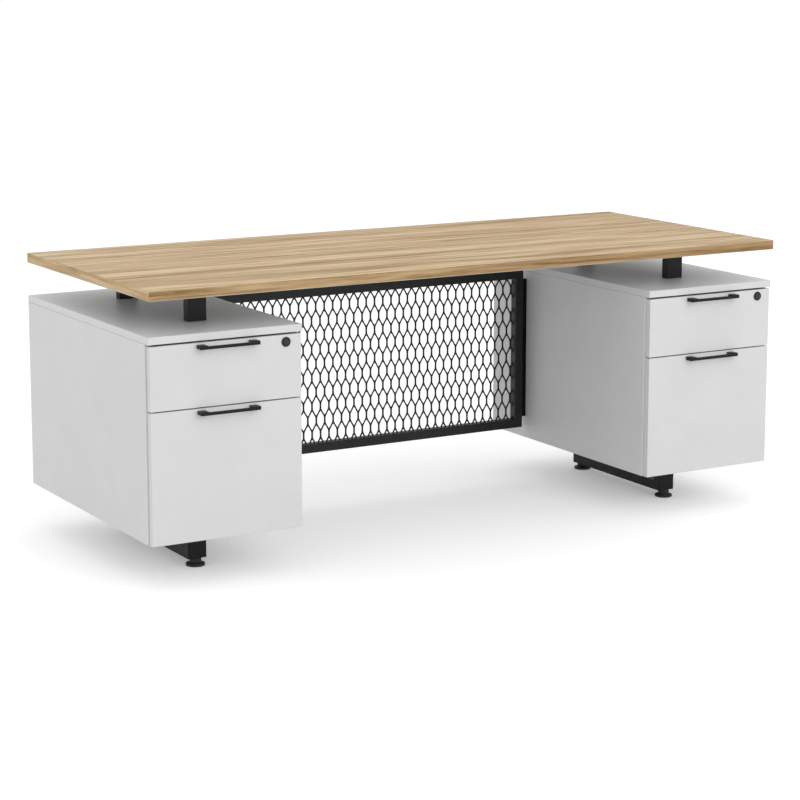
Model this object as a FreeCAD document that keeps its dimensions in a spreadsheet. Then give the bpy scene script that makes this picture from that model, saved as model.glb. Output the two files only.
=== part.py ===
# Office desk: a wide board top carried clear of two drawer pedestals, with a mesh privacy panel between them.
# X runs to the right, Y to the back, Z up. The origin is on the floor, under the middle of the whole desk.
import FreeCAD, Part
import math
import os
import re

import Sketcher
from FreeCAD import Rotation, Vector

# Driving dimensions, in millimetres unless the note says otherwise
sizes = {
    "desk_width": (1829, "desktop, left to right"),
    "desk_depth": (762, "desktop, front to back"),
    "desktop_thickness": (25, "desktop board"),
    "desktop_round": (1.2, "radius on the desktop's edge banding"),
    "pedestal_width": (402, "each pedestal, left to right"),
    "pedestal_height": (498.5, "underside of the bottom board to the pedestal's top"),
    "pedestal_setback": (8.5, "drawer faces behind the desktop's front edge"),
    "board": (18, "thickness of the carcass boards"),
    "front_board": (18, "thickness of a drawer front"),
    "board_round": (1, "radius on the edges of the white boards"),
    "front_gap": (1.5, "gap between a drawer front and the carcass behind it"),
    "side_reveal": (3.2, "carcass edge that shows beside a drawer front"),
    "top_reveal": (4.5, "gap between the pedestal's top board and the upper front"),
    "drawer_gap": (3, "gap between the two fronts"),
    "file_front_height": (319, "lower drawer front"),
    "tube_width": (50, "riser and base tube, across"),
    "tube_depth": (25, "riser and base tube, the other way"),
    "tube_wall": (1.5, "wall of the riser and base tube"),
    "tube_round": (2, "outer corner radius of the tube"),
    "end_plate": (5, "plate welded in the end of a post"),
    "riser_height": (85, "pedestal top to the desktop's underside"),
    "riser_setback": (168, "front riser post behind the desktop's front edge"),
    "riser_length": (433, "front face of the front post to rear face of the rear one"),
    "base_height": (114.5, "floor to the underside of a pedestal"),
    "base_setback": (186.5, "front base post behind the desktop's front edge"),
    "base_length": (416, "base frame, front to back"),
    "foot_height": (20, "floor to the underside of a base post"),
    "foot_radius": (24, "disc of a levelling foot"),
    "foot_rim": (6.5, "height of the disc's straight rim"),
    "foot_cone": (9.5, "height at which the cone meets the hub"),
    "foot_hub_radius": (15, "hub above the cone"),
    "foot_stem_radius": (5, "threaded stem"),
    "foot_stem_length": (34, "stem above the base post's underside"),
    "foot_seat_gap": (0.3, "hub to the post's underside"),
    "running_play": (0.08, "radial play of a turning part in its hole"),
    "bolt_radius": (4, "bolt between a frame and a pedestal"),
    "bolt_length": (32, "shank of that bolt"),
    "bolt_head_radius": (8, "its flanged head"),
    "bolt_head_height": (4.5, "its flanged head"),
    "screw_play": (0.2, "radial play of a screw in its hole"),
    "desktop_screw_radius": (2.5, "screw from the riser frame into the desktop"),
    "desktop_screw_grip": (14, "length of it in the desktop"),
    "desktop_screw_head_radius": (5.5, "its head"),
    "desktop_screw_head_height": (3.5, "its head"),
    "desktop_screw_inset": (60, "first and last screw from the ends of the riser frame"),
    "panel_height": (453, "privacy panel frame, bottom to top"),
    "panel_lift": (148, "floor to the underside of the panel frame"),
    "panel_setback": (580, "panel frame's front behind the desktop's front edge"),
    "panel_tube": (25, "square tube of the panel frame"),
    "panel_tube_wall": (1.5, "its wall"),
    "panel_round": (1.5, "its outer corner radius"),
    "mesh_inset": (14, "front of the mesh behind the front of its frame"),
    "mesh_thickness": (1.5, "expanded sheet"),
    "mesh_columns": (30, "count of mesh openings in a row"),
    "mesh_rows": (9, "count of rows of mesh openings"),
    "mesh_strand": (3, "width of a mesh strand where two openings lie side by side"),
    "bracket_width": (17.5, "gap between the panel frame and a pedestal, which the bracket fills"),
    "bracket_inset": (10, "bracket's front behind the front of the panel frame"),
    "bracket_depth": (15, "bracket, front to back"),
    "bracket_end_gap": (29, "bracket's ends inside the ends of the panel frame"),
    "bracket_wall": (2, "bracket's sheet"),
    "bracket_screw_radius": (2.5, "screw through a bracket's flange"),
    "bracket_screw_length": (12, "its shank"),
    "bracket_screw_head_radius": (4.5, "its head"),
    "bracket_screw_head_height": (2.8, "its head"),
    "bracket_screw_inset": (35, "first and last screw from the bracket's ends"),
    "handle_length": (156, "handle, end to end"),
    "handle_reach": (24, "handle's front before the drawer face"),
    "handle_height": (9, "height of a handle's legs"),
    "handle_leg": (20, "width of a handle's leg"),
    "handle_bar": (8, "depth of the handle's bar"),
    "handle_step": (2, "top of the bar below the top of the legs"),
    "handle_round": (1.6, "radius on the handle's long edges"),
    "handle_drop": (4.5, "top of the handle below the top of its front"),
    "handle_hole_spacing": (128, "between the two handle screws"),
    "handle_screw_radius": (2, "handle screw"),
    "handle_screw_grip": (9, "length of it in the handle's leg"),
    "handle_screw_head_radius": (4, "its head"),
    "handle_screw_head_height": (2.4, "its head"),
    "slide_width": (12.7, "gap that a slide fills between carcass and drawer box"),
    "slide_height": (45.7, "cabinet member of a slide"),
    "slide_length": (550, "closed slide"),
    "slide_sheet": (1.2, "steel of the slides"),
    "slide_play": (0.5, "gap between two members of a slide"),
    "slide_setback": (3, "slide behind the carcass's front edge"),
    "slide_rise": (45, "middle of a slide above the floor of its drawer box"),
    "drawer_box_length": (560, "drawer box behind its front"),
    "drawer_sheet": (1.2, "steel of the drawer boxes"),
    "drawer_flange": (6, "turned-out top edge of a drawer box"),
    "drawer_lift": (27, "underside of a drawer box above the bottom of its front"),
    "box_drawer_height": (92, "upper drawer box"),
    "file_drawer_height": (260, "lower drawer box"),
    "lock_flange_radius": (12, "rim of the lock housing"),
    "lock_flange_height": (2.5, "rim before the drawer face"),
    "lock_barrel_radius": (9.5, "lock housing in the front"),
    "lock_barrel_length": (22, "lock housing behind the drawer face"),
    "lock_plug_radius": (7, "turning plug"),
    "lock_plug_proud": (0.6, "plug's face before the rim"),
    "lock_tail_radius": (4, "stub that carries the cam"),
    "lock_tail_length": (4, "stub behind the plug"),
    "lock_end_gap": (0.3, "between the cam and the housing"),
    "lock_inset": (44, "lock from the pedestal's right side"),
    "lock_drop": (17.5, "lock below the top of its front"),
    "keyway_width": (1.8, "slot in the plug's face"),
    "keyway_length": (9, "slot in the plug's face"),
    "keyway_depth": (3, "slot in the plug's face"),
    "cam_length": (28, "cam, from the plug's axis to its tip"),
    "cam_width": (13, "cam"),
    "cam_thickness": (2.5, "cam"),
    "mortise_play": (2.2, "room round the cam in the top board"),
    "cut_overrun": (1, "length by which a cutting solid stands past what it cuts"),
}

# Places and lengths worked out from the sizes above
worked_out = {
    "handle_overhang": "handle_reach - pedestal_setback",
    "front_edge": "(handle_overhang - desk_depth) / 2",
    "desktop_bottom": "base_height + pedestal_height + riser_height",
    "pedestal_top": "base_height + pedestal_height",
    "face": "front_edge + pedestal_setback",
    "carcass_front": "face + front_board + front_gap",
    "back_edge": "front_edge + desk_depth",
    "side_height": "pedestal_height - board",
    "inner_width": "pedestal_width - 2 * board",
    "front_width": "pedestal_width - 2 * side_reveal",
    "box_front_height": "side_height - top_reveal - drawer_gap - file_front_height",
    "box_front_bottom": "base_height + file_front_height + drawer_gap",
    "box_width": "inner_width - 2 * slide_width",
    "riser_front": "front_edge + riser_setback",
    "base_front": "front_edge + base_setback",
    "base_frame_height": "base_height - foot_height",
    "base_rear_post": "base_length - tube_depth",
    "riser_rear_post": "riser_length - tube_depth",
    "panel_front": "front_edge + panel_setback",
    "panel_width": "desk_width - 2 * pedestal_width - 2 * bracket_width",
    "panel_left": "-panel_width / 2",
    "panel_opening_width": "panel_width - 2 * panel_tube",
    "panel_opening_height": "panel_height - 2 * panel_tube",
    "bracket_front": "panel_front + bracket_inset",
    "bracket_length": "panel_height - 2 * bracket_end_gap",
    "bracket_bottom": "panel_lift + bracket_end_gap",
    "cam_front": "face + lock_barrel_length + lock_end_gap",
}
sides = ("left", "right")
pedestal_left = {"left": "-desk_width / 2", "right": "desk_width / 2 - pedestal_width"}
drawers = {
    "box": {"bottom": "box_front_bottom", "height": "box_front_height", "box_height": "box_drawer_height"},
    "file": {"bottom": "base_height", "height": "file_front_height", "box_height": "file_drawer_height"},
}
end_places = ("first", "middle", "last")

# The way in which a pad or a pocket grows from a sketch on each origin plane, against the plane's own normal
plane_turns = {"XY_Plane": 1, "YZ_Plane": 1, "XZ_Plane": -1}
axis_turns = {
    "X": Rotation(Vector(0, 1, 0), 90),
    "Y": Rotation(Vector(1, 0, 0), -90),
    "Z": Rotation(),
    "-Z": Rotation(Vector(1, 0, 0), 180),
    "-Y": Rotation(Vector(1, 0, 0), 90),
    "-X": Rotation(Vector(0, 1, 0), -90),
}

doc = FreeCAD.newDocument("OfficeDesk")
sheet = doc.addObject("Spreadsheet::Sheet", "Sizes")
for row, (alias, (number, note)) in enumerate(sizes.items(), start=1):
    sheet.set(f"A{row}", alias)
    sheet.set(f"B{row}", str(number))
    sheet.setAlias(f"B{row}", alias)
    sheet.set(f"C{row}", note)
doc.recompute()

finished = []
cuts = []


# The formula with each name written as the sheet's cell, or as its own formula
def bound(formula):
    def written_out(match):
        word = match.group(0)
        if word in worked_out:
            return "(" + bound(worked_out[word]) + ")"
        return "Sizes." + word

    return re.sub(r"[a-z][a-z_]+", written_out, str(formula))


def bind(piece, settings):
    for name, formula in settings.items():
        piece.setExpression(name, bound(formula))


def place(piece, x, y, z):
    bind(piece, {"Placement.Base.x": x, "Placement.Base.y": y, "Placement.Base.z": z})
    return piece


def new_body(label):
    return doc.addObject("PartDesign::Body", label)


def new_sketch(body, plane, height):
    sketch = body.newObject("Sketcher::SketchObject", body.Name + "_sketch")
    origin_plane = next(feature for feature in body.Origin.OriginFeatures if feature.Role == plane)
    sketch.AttachmentSupport = (origin_plane, [""])
    sketch.MapMode = "FlatFace"
    bind(sketch, {"AttachmentOffset.Base.z": f"{plane_turns[plane]} * ({height})"})
    return sketch


def pin_point(sketch, geometry, point, x, y):
    for kind, formula in (("DistanceX", x), ("DistanceY", y)):
        constraint = sketch.addConstraint(Sketcher.Constraint(kind, -1, 1, geometry, point, 0.0))
        bind(sketch, {f"Constraints[{constraint}]": formula})


def draw_outline(sketch, corners):
    count = len(corners)
    turn = 2 * math.pi / count
    start = [Vector(math.cos(turn * i), math.sin(turn * i), 0) for i in range(count)]
    lines = [sketch.addGeometry(Part.LineSegment(start[i - 1], start[i])) for i in range(count)]
    for i, (x, y) in enumerate(corners):
        sketch.addConstraint(Sketcher.Constraint("Coincident", lines[i], 2, lines[(i + 1) % count], 1))
        pin_point(sketch, lines[i], 2, x, y)


def rectangle(x, y, width, height):
    right = f"({x}) + ({width})"
    top = f"({y}) + ({height})"
    return [(x, y), (right, y), (right, top), (x, top)]


def draw_circles(sketch, centres, radius):
    for x, y in centres:
        circle = sketch.addGeometry(Part.Circle(Vector(), Vector(0, 0, 1), 1))
        pin_point(sketch, circle, 3, x, y)
        constraint = sketch.addConstraint(Sketcher.Constraint("Radius", circle, 1.0))
        bind(sketch, {f"Constraints[{constraint}]": radius})


def pad(body, plane, height, length, outlines=(), centres=(), radius="0"):
    sketch = new_sketch(body, plane, height)
    for corners in outlines:
        draw_outline(sketch, corners)
    draw_circles(sketch, centres, radius)
    feature = body.newObject("PartDesign::Pad", body.Name + "_pad")
    feature.Profile = sketch
    feature.Reversed = plane_turns[plane] < 0
    bind(feature, {"Length": length})
    return feature


def pocket(body, plane, height, length, outlines=(), centres=(), radius="0"):
    before = body.Tip
    sketch = new_sketch(body, plane, height)
    for corners in outlines:
        draw_outline(sketch, corners)
    draw_circles(sketch, centres, radius)
    feature = body.newObject("PartDesign::Pocket", body.Name + "_pocket")
    feature.Profile = sketch
    feature.Reversed = plane_turns[plane] > 0
    bind(feature, {"Length": length})
    cuts.append((before, feature))
    return feature


# Rounds the straight edges of the last feature that the test picks
def round_edges(body, radius, picked=lambda edge: True):
    base = body.Tip
    doc.recompute()
    names = [
        f"Edge{number}"
        for number, edge in enumerate(base.Shape.Edges, start=1)
        if isinstance(edge.Curve, Part.Line) and picked(edge)
    ]
    feature = body.newObject("PartDesign::Fillet", body.Name + "_round")
    feature.Base = (base, names)
    bind(feature, {"Radius": radius})
    return feature


def finish(piece, x="0", y="0", z="0"):
    place(piece, x, y, z)
    finished.append(piece)
    return piece


def new_box(name, x, y, z, width, depth, height):
    piece = doc.addObject("Part::Box", name)
    bind(piece, {"Length": width, "Width": depth, "Height": height})
    return place(piece, x, y, z)


def new_cylinder(name, radius, length, axis, x, y, z):
    piece = doc.addObject("Part::Cylinder", name)
    bind(piece, {"Radius": radius, "Height": length})
    piece.Placement.Rotation = axis_turns[axis]
    return place(piece, x, y, z)


def group(label, members):
    piece = doc.addObject("Part::Compound", label)
    piece.Links = members
    return piece


def fuse(label, members):
    piece = doc.addObject("Part::MultiFuse", label)
    piece.Shapes = members
    return piece


def cut_from(label, base, tool):
    piece = doc.addObject("Part::Cut", label)
    piece.Base = base
    piece.Tool = tool
    return piece


# A screw whose head seats at the given point and whose shank runs along the axis
def new_screw(name, kind, length, axis, x, y, z):
    against = {"X": "-X", "Y": "-Y", "Z": "-Z", "-X": "X", "-Y": "Y", "-Z": "Z"}[axis]
    head = new_cylinder(name + "_head", f"{kind}_head_radius", f"{kind}_head_height", against, x, y, z)
    shank = new_cylinder(name + "_shank", f"{kind}_radius", length, axis, x, y, z)
    return fuse(name, [head, shank])


# First, middle and last place along a length, each end at an inset
def spread(length, inset):
    return {"first": inset, "middle": f"({length}) / 2", "last": f"({length}) - ({inset})"}


def make_desktop():
    body = new_body("desktop")
    pad(body, "XY_Plane", "0", "desktop_thickness", [rectangle("0", "0", "desk_width", "desk_depth")])
    round_edges(body, "desktop_round")
    screw_places = spread("riser_length", "desktop_screw_inset")
    centres = [
        (f"{pedestal_left[side]} + (desk_width + pedestal_width) / 2", f"riser_setback + {screw_places[end]}")
        for side in sides
        for end in end_places
    ]
    hole = "desktop_screw_radius + screw_play"
    pocket(body, "XY_Plane", "0", "desktop_screw_grip + screw_play", centres=centres, radius=hole)
    finish(body, "-desk_width / 2", "front_edge", "desktop_bottom")


# Riser frame: two posts under a runner, hollow, with a plate in the foot of each post
def make_riser_frame(side):
    body = new_body(side + "_riser_frame")
    under = "riser_height - tube_depth"
    outside = [
        ("0", "0"),
        ("tube_depth", "0"),
        ("tube_depth", under),
        ("riser_rear_post", under),
        ("riser_rear_post", "0"),
        ("riser_length", "0"),
        ("riser_length", "riser_height"),
        ("0", "riser_height"),
    ]
    inside = [
        ("tube_wall", "end_plate"),
        ("tube_depth - tube_wall", "end_plate"),
        ("tube_depth - tube_wall", under + " + tube_wall"),
        ("riser_rear_post + tube_wall", under + " + tube_wall"),
        ("riser_rear_post + tube_wall", "end_plate"),
        ("riser_length - tube_wall", "end_plate"),
        ("riser_length - tube_wall", "riser_height - tube_wall"),
        ("tube_wall", "riser_height - tube_wall"),
    ]
    pad(body, "YZ_Plane", "0", "tube_width", [outside])
    round_edges(body, "tube_round", lambda edge: abs(edge.tangentAt(edge.FirstParameter).z) > 0.5)
    pocket(body, "YZ_Plane", "tube_wall", "tube_width - 2 * tube_wall", [inside])
    posts = [("tube_width / 2", "tube_depth / 2"), ("tube_width / 2", "riser_length - tube_depth / 2")]
    pocket(body, "XY_Plane", "0", "end_plate", centres=posts, radius="bolt_radius + screw_play")
    screw_places = spread("riser_length", "desktop_screw_inset")
    screws = [("tube_width / 2", screw_places[end]) for end in end_places]
    hole = "desktop_screw_radius + screw_play"
    pocket(body, "XY_Plane", under, "tube_depth", centres=screws, radius=hole)
    finish(body, f"{pedestal_left[side]} + (pedestal_width - tube_width) / 2", "riser_front", "pedestal_top")


# Base frame: two posts with a low runner between them, hollow, with a plate in both ends of each post
def make_base_frame(side):
    body = new_body(side + "_base_frame")
    outside = [
        ("0", "0"),
        ("base_length", "0"),
        ("base_length", "base_frame_height"),
        ("base_rear_post", "base_frame_height"),
        ("base_rear_post", "tube_depth"),
        ("tube_depth", "tube_depth"),
        ("tube_depth", "base_frame_height"),
        ("0", "base_frame_height"),
    ]
    plate_top = "base_frame_height - end_plate"
    inside = [
        ("tube_wall", "end_plate"),
        ("tube_depth", "end_plate"),
        ("tube_depth", "tube_wall"),
        ("base_rear_post", "tube_wall"),
        ("base_rear_post", "end_plate"),
        ("base_length - tube_wall", "end_plate"),
        ("base_length - tube_wall", plate_top),
        ("base_rear_post + tube_wall", plate_top),
        ("base_rear_post + tube_wall", "tube_depth - tube_wall"),
        ("tube_depth - tube_wall", "tube_depth - tube_wall"),
        ("tube_depth - tube_wall", plate_top),
        ("tube_wall", plate_top),
    ]
    pad(body, "YZ_Plane", "0", "tube_width", [outside])
    round_edges(body, "tube_round", lambda edge: abs(edge.tangentAt(edge.FirstParameter).z) > 0.5)
    pocket(body, "YZ_Plane", "tube_wall", "tube_width - 2 * tube_wall", [inside])
    posts = [("tube_width / 2", "tube_depth / 2"), ("tube_width / 2", "base_length - tube_depth / 2")]
    pocket(body, "XY_Plane", "0", "end_plate", centres=posts, radius="foot_stem_radius + running_play")
    pocket(body, "XY_Plane", plate_top, "end_plate", centres=posts, radius="bolt_radius + screw_play")
    finish(body, f"{pedestal_left[side]} + (pedestal_width - tube_width) / 2", "base_front", "foot_height")


def make_foot(side, end):
    body = new_body(f"{side}_{end}_foot")
    sketch = new_sketch(body, "XZ_Plane", "0")
    hub_top = "foot_height - foot_seat_gap"
    draw_outline(sketch, [
        ("0", "0"),
        ("foot_radius", "0"),
        ("foot_radius", "foot_rim"),
        ("foot_hub_radius", "foot_cone"),
        ("foot_hub_radius", hub_top),
        ("foot_stem_radius", hub_top),
        ("foot_stem_radius", "foot_height + foot_stem_length"),
        ("0", "foot_height + foot_stem_length"),
    ])
    feature = body.newObject("PartDesign::Revolution", body.Name + "_turned")
    feature.Profile = sketch
    feature.ReferenceAxis = (sketch, ["V_Axis"])
    post = {"front": "tube_depth / 2", "rear": "base_length - tube_depth / 2"}[end]
    finish(body, f"{pedestal_left[side]} + pedestal_width / 2", f"base_front + {post}", "0")


def bolt_centres(from_left, from_front):
    first = ("pedestal_width / 2", f"{from_front[0]} + tube_depth / 2 - ({from_left})")
    last = ("pedestal_width / 2", f"{from_front[0]} + {from_front[1]} - tube_depth / 2 - ({from_left})")
    return [first, last]


def make_pedestal(side):
    left = pedestal_left[side]
    bolt_hole = "bolt_radius + screw_play"
    carcass_depth = "back_edge - carcass_front"

    top = new_body(side + "_pedestal_top")
    centres = bolt_centres("face", ("riser_front", "riser_length"))
    pad(top, "XY_Plane", "0", "board", [rectangle("0", "0", "pedestal_width", "back_edge - face")], centres, bolt_hole)
    round_edges(top, "board_round")
    cam_sweep = "cam_length + mortise_play"
    mortise = rectangle(
        f"pedestal_width - lock_inset - {cam_sweep}",
        "cam_front - face - mortise_play",
        f"{cam_sweep} + cam_width / 2 + mortise_play",
        "cam_thickness + 2 * mortise_play",
    )
    pocket(top, "XY_Plane", "0", "cam_length - lock_drop - top_reveal + mortise_play", [mortise])
    finish(top, left, "face", "base_height + side_height")

    bottom = new_body(side + "_pedestal_bottom")
    centres = [(f"{x} - board", y) for x, y in bolt_centres("carcass_front", ("base_front", "base_length"))]
    floor = rectangle("0", "0", "inner_width", f"{carcass_depth} - board")
    pad(bottom, "XY_Plane", "0", "board", [floor], centres, bolt_hole)
    round_edges(bottom, "board_round")
    finish(bottom, f"{left} + board", "carcass_front", "base_height")

    for part, shift in (("left", "0"), ("right", "pedestal_width - board")):
        inner = part != side
        body = new_body(f"{side}_pedestal_{'inner' if inner else 'outer'}_side")
        pad(body, "YZ_Plane", "0", "board", [rectangle("0", "0", carcass_depth, "side_height")])
        round_edges(body, "board_round")
        if inner:
            screw_places = spread("bracket_length", "bracket_screw_inset")
            across = "bracket_front - carcass_front + (bracket_depth + bracket_wall) / 2"
            centres = [(across, f"bracket_bottom - base_height + {screw_places[end]}") for end in end_places]
            hole = "bracket_screw_radius + screw_play"
            depth = "bracket_screw_length - bracket_wall + screw_play"
            start = "0" if side == "right" else f"board - ({depth})"
            pocket(body, "YZ_Plane", start, depth, centres=centres, radius=hole)
        finish(body, f"{left} + {shift}", "carcass_front", "base_height")

    back = new_body(side + "_pedestal_back")
    pad(back, "XZ_Plane", "0", "board", [rectangle("0", "0", "inner_width", "side_height")])
    round_edges(back, "board_round")
    finish(back, f"{left} + board", "back_edge - board", "base_height")


def make_panel_frame():
    body = new_body("privacy_panel_frame")
    opening = rectangle("panel_tube", "panel_tube", "panel_opening_width", "panel_opening_height")
    pad(body, "XZ_Plane", "0", "panel_tube", [rectangle("0", "0", "panel_width", "panel_height"), opening])
    round_edges(body, "panel_round", lambda edge: abs(edge.tangentAt(edge.FirstParameter).y) < 0.5)
    wall = "panel_tube_wall"
    inside_outer = rectangle(wall, wall, f"panel_width - 2 * {wall}", f"panel_height - 2 * {wall}")
    inside_inner = rectangle(
        f"panel_tube - {wall}",
        f"panel_tube - {wall}",
        f"panel_opening_width + 2 * {wall}",
        f"panel_opening_height + 2 * {wall}",
    )
    pocket(body, "XZ_Plane", wall, f"panel_tube - 2 * {wall}", [inside_outer, inside_inner])
    screw_places = spread("bracket_length", "bracket_screw_inset")
    across = "bracket_inset + (bracket_depth + bracket_wall) / 2"
    centres = [(across, f"bracket_end_gap + {screw_places[end]}") for end in end_places]
    for start in ("0", f"panel_width - {wall}"):
        pocket(body, "YZ_Plane", start, wall, centres=centres, radius="bracket_screw_radius + screw_play")
    finish(body, "panel_left", "panel_front", "panel_lift")


# What is left of a polygon on the low side (sign 1) or the high side (sign -1) of a limit along one axis
def clipped(points, axis, limit, sign):
    kept = []
    for before, point in zip(points[-1:] + points[:-1], points):
        room_before = sign * (limit - before[axis])
        room = sign * (limit - point[axis])
        if room_before * room < 0:
            kept.append(before + (point - before) * (room_before / (room_before - room)))
        if room >= 0:
            kept.append(point)
    return kept


# Expanded sheet: staggered six-sided openings, cut off at a narrow rim
def make_panel_mesh():
    size = {name: float(sheet.get(name)) for name in sizes}
    width = size["desk_width"] - 2 * (size["pedestal_width"] + size["bracket_width"] + size["panel_tube"])
    height = size["panel_height"] - 2 * size["panel_tube"]
    columns = round(size["mesh_columns"])
    rows = round(size["mesh_rows"])
    strand = size["mesh_strand"]
    column_pitch = width / columns
    row_pitch = height / rows
    half_width = (column_pitch - strand) / 2
    straight_share = 0.27
    tip_share = 0.705
    half_straight = straight_share * row_pitch
    tip = tip_share * row_pitch
    rim = strand / 2
    cell = [
        Vector(0, 0, tip),
        Vector(half_width, 0, half_straight),
        Vector(half_width, 0, -half_straight),
        Vector(0, 0, -tip),
        Vector(-half_width, 0, -half_straight),
        Vector(-half_width, 0, half_straight),
    ]
    holes = []
    for row in range(rows):
        shift = row % 2
        for column in range(columns + shift):
            centre = Vector((column + (1 - shift) / 2) * column_pitch, 0, (row + 1 / 2) * row_pitch)
            points = [centre + corner for corner in cell]
            for axis, far in ((0, width), (2, height)):
                points = clipped(clipped(points, axis, far - rim, 1), axis, rim, -1)
            holes.append(Part.makePolygon(points + points[:1]))
    corners = [Vector(), Vector(width, 0, 0), Vector(width, 0, height), Vector(0, 0, height), Vector()]
    net = Part.Face([Part.makePolygon(corners)] + holes)
    piece = doc.addObject("Part::Feature", "privacy_panel_mesh")
    piece.Shape = net.extrude(Vector(0, size["mesh_thickness"], 0))
    print("mesh openings:", len(holes))
    finish(piece, "panel_left + panel_tube", "panel_front + mesh_inset", "panel_lift + panel_tube")


# Bracket: a channel that is open to the back, one flange on the panel frame and one on the pedestal
def make_bracket(side):
    body = new_body(side + "_panel_bracket")
    far_flange = "bracket_width - bracket_wall"
    pad(body, "XY_Plane", "0", "bracket_length", [[
        ("0", "0"),
        ("bracket_width", "0"),
        ("bracket_width", "bracket_depth"),
        (far_flange, "bracket_depth"),
        (far_flange, "bracket_wall"),
        ("bracket_wall", "bracket_wall"),
        ("bracket_wall", "bracket_depth"),
        ("0", "bracket_depth"),
    ]])
    screw_places = spread("bracket_length", "bracket_screw_inset")
    centres = [("(bracket_depth + bracket_wall) / 2", screw_places[end]) for end in end_places]
    for start in ("0", far_flange):
        hole = "bracket_screw_radius + screw_play"
        pocket(body, "YZ_Plane", start, "bracket_wall", centres=centres, radius=hole)
    left = {"left": "panel_left - bracket_width", "right": "-panel_left"}[side]
    finish(body, left, "bracket_front", "bracket_bottom")


def drawer_face_bottom(drawer):
    return drawers[drawer]["bottom"]


def handle_centre_height(drawer):
    return f"{drawers[drawer]['height']} - handle_drop - handle_height / 2"


def handle_hole_centres(middle, height):
    return [(f"{middle} + {sign} * handle_hole_spacing / 2", height) for sign in (-1, 1)]


def make_drawer_front(side, drawer):
    body = new_body(f"{side}_{drawer}_drawer_front")
    height = drawers[drawer]["height"]
    holes = handle_hole_centres("front_width / 2", handle_centre_height(drawer))
    hole = "handle_screw_radius + screw_play"
    pad(body, "XZ_Plane", "0", "front_board", [rectangle("0", "0", "front_width", height)], holes, hole)
    round_edges(body, "board_round")
    if drawer == "box":
        lock = [("front_width + side_reveal - lock_inset", f"{height} - lock_drop")]
        pocket(body, "XZ_Plane", "0", "front_board", centres=lock, radius="lock_barrel_radius")
    finish(body, f"{pedestal_left[side]} + side_reveal", "face", drawer_face_bottom(drawer))


# Bow handle: two legs and a lower bar across their front
def make_handle(side, drawer):
    body = new_body(f"{side}_{drawer}_drawer_handle")
    far_leg = "handle_length - handle_leg"
    pad(body, "XY_Plane", "0", "handle_height", [[
        ("0", "0"),
        ("handle_length", "0"),
        ("handle_length", "handle_reach"),
        (far_leg, "handle_reach"),
        (far_leg, "handle_bar"),
        ("handle_leg", "handle_bar"),
        ("handle_leg", "handle_reach"),
        ("0", "handle_reach"),
    ]])
    bar = rectangle("handle_leg", "0", "handle_length - 2 * handle_leg", "handle_bar")
    pocket(body, "XY_Plane", "handle_height - handle_step", "handle_step", [bar])
    round_edges(body, "handle_round", is_handle_front_edge)
    depth = "handle_screw_grip + screw_play"
    holes = handle_hole_centres("handle_length / 2", "handle_height / 2")
    radius = "handle_screw_radius + screw_play"
    pocket(body, "XZ_Plane", f"handle_reach - ({depth})", depth, centres=holes, radius=radius)
    middle = f"{pedestal_left[side]} + pedestal_width / 2"
    height = f"{drawer_face_bottom(drawer)} + {handle_centre_height(drawer)}"
    finish(body, f"{middle} - handle_length / 2", "face - handle_reach", f"{height} - handle_height / 2")


# The handle's outer front edges: those that lie in its front face
def is_handle_front_edge(edge):
    return all(abs(vertex.Point.y) < Part.Precision.confusion() for vertex in edge.Vertexes)


# Folded steel box: floor and four walls, with the two long walls turned out at the top
def make_drawer_box(side, drawer):
    body = new_body(f"{side}_{drawer}_drawer_box")
    height = drawers[drawer]["box_height"]
    pad(body, "XY_Plane", "0", height, [rectangle("drawer_flange", "0", "box_width", "drawer_box_length")])
    flange = rectangle("0", "0", "box_width + 2 * drawer_flange", "drawer_box_length")
    pad(body, "XY_Plane", f"{height} - drawer_sheet", "drawer_sheet", [flange])
    inside = rectangle(
        "drawer_flange + drawer_sheet",
        "drawer_sheet",
        "box_width - 2 * drawer_sheet",
        "drawer_box_length - 2 * drawer_sheet",
    )
    pocket(body, "XY_Plane", "drawer_sheet", f"{height} - drawer_sheet", [inside])
    left = f"{pedestal_left[side]} + board + slide_width - drawer_flange"
    finish(body, left, "face + front_board", f"{drawer_face_bottom(drawer)} + drawer_lift")


# A steel channel along Y that opens to the left or to the right
def new_channel(name, left, bottom, width, height, opens):
    length = "slide_length"
    front = "carcass_front + slide_setback"
    outer = new_box(name + "_outer", left, front, bottom, width, length, height)
    hollow_left = {"right": f"({left}) + slide_sheet", "left": f"({left}) - cut_overrun"}[opens]
    hollow = new_box(
        name + "_hollow",
        hollow_left,
        f"{front} - cut_overrun",
        f"({bottom}) + slide_sheet",
        f"({width}) - slide_sheet + cut_overrun",
        f"{length} + 2 * cut_overrun",
        f"({height}) - 2 * slide_sheet",
    )
    return cut_from(name, outer, hollow)


# The three members of both slides of a drawer: the same channels, nested, on the left and mirrored on the right
def make_slides(side, drawer):
    step = "(slide_sheet + slide_play)"
    centre = f"{drawer_face_bottom(drawer)} + drawer_lift + slide_rise"
    members = {
        "cabinet": {"near": "0", "far": f"2 * {step}", "nest": "0", "opens": "away"},
        "middle": {"near": step, "far": step, "nest": "1", "opens": "away"},
        "drawer": {"near": f"2 * {step}", "far": "0", "nest": "2", "opens": "back"},
    }
    for member, shape in members.items():
        width = f"slide_width - {shape['near']} - {shape['far']}"
        height = f"slide_height - 2 * {shape['nest']} * {step}"
        bottom = f"{centre} - ({height}) / 2"
        pair = []
        for hand in sides:
            inner_left = f"{pedestal_left[side]} + board"
            if hand == "left":
                left = f"{inner_left} + {shape['near']}"
            else:
                left = f"{inner_left} + inner_width - slide_width + {shape['far']}"
            opens_right = (hand == "left") == (shape["opens"] == "away")
            name = f"{side}_{drawer}_{member}_{hand}"
            pair.append(new_channel(name, left, bottom, width, height, "right" if opens_right else "left"))
        finish(group(f"{side}_{drawer}_{member}_slides", pair))


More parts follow.
